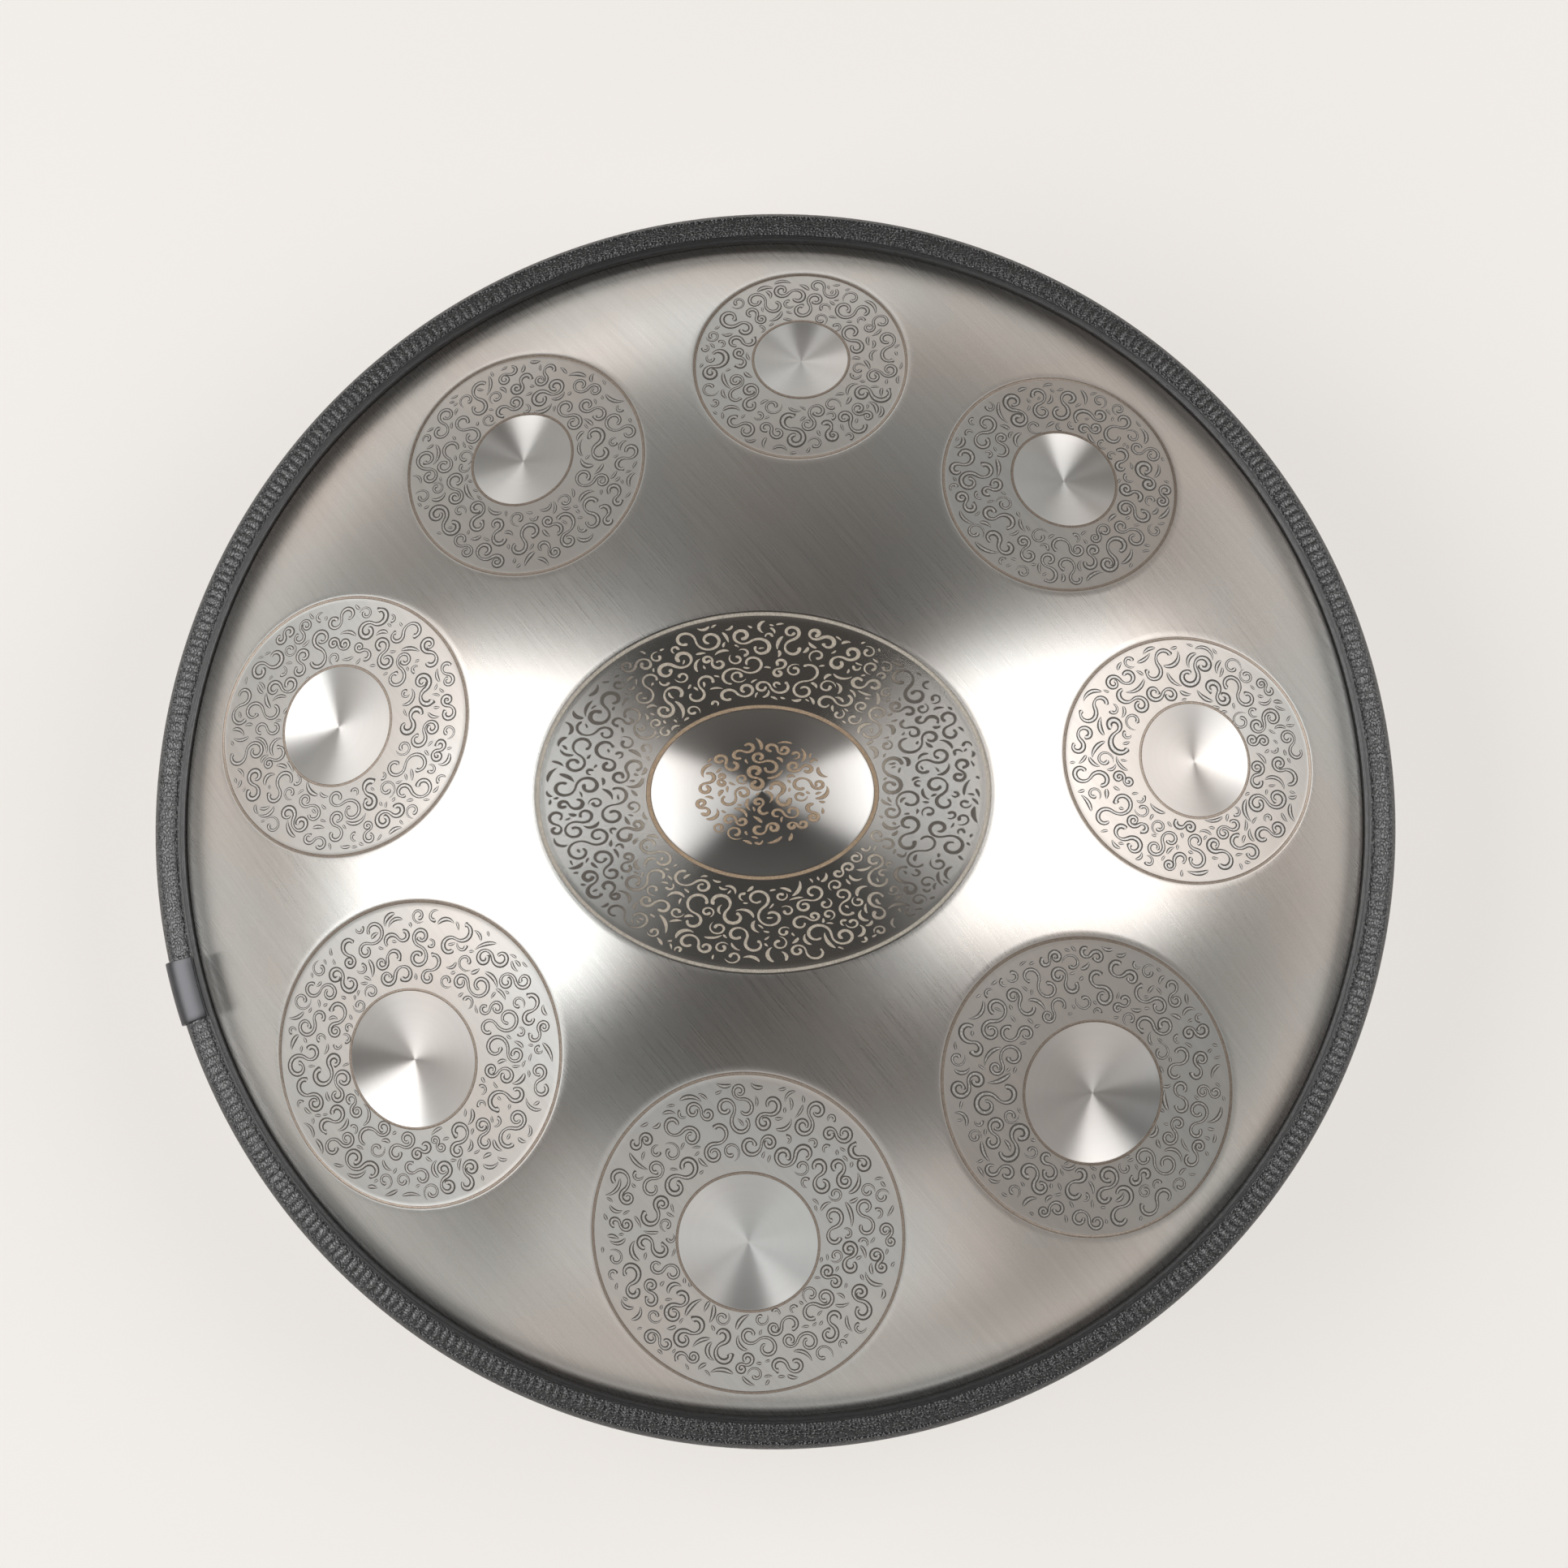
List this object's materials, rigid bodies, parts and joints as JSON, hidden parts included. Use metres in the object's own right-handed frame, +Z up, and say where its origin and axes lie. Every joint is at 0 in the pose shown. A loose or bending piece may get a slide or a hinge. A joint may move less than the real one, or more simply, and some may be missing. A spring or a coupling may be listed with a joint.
{
  "type": "handpan",
  "caption": "Lens-shaped steel handpan: a domed upper shell with pressed elliptical tone fields round a raised centre note, a ported lower shell and a rubber-trimmed rim.",
  "frame": {"origin": "centre of the underside, on the plane that the instrument rests on, midway under its box", "axes": "+Z up, along the axis of the shells; -Y towards the player and the largest tone field; +X to the player's right"},
  "size_m": [0.56, 0.56, 0.219],
  "materials": {
    "top_steel": "brushed stainless steel with etched ornament, satin",
    "bottom_steel": "brushed stainless steel, satin",
    "adhesive": "cured structural glue, matt",
    "trim_rubber": "black, embossed with a fine ribbed grain",
    "carrier_steel": "plain strip steel",
    "grip_rubber": "soft black, matt",
    "clip_metal": "dark polished metal"
  },
  "bodies": {
    "root": {"top_shell": "top_steel", "bottom_shell": "bottom_steel", "rim_adhesive": "adhesive", "edge_trim_cover": "trim_rubber", "edge_trim_carrier": "carrier_steel", "edge_trim_grip": "grip_rubber", "trim_joint_clip": "clip_metal"}
  },
  "joints": []
}
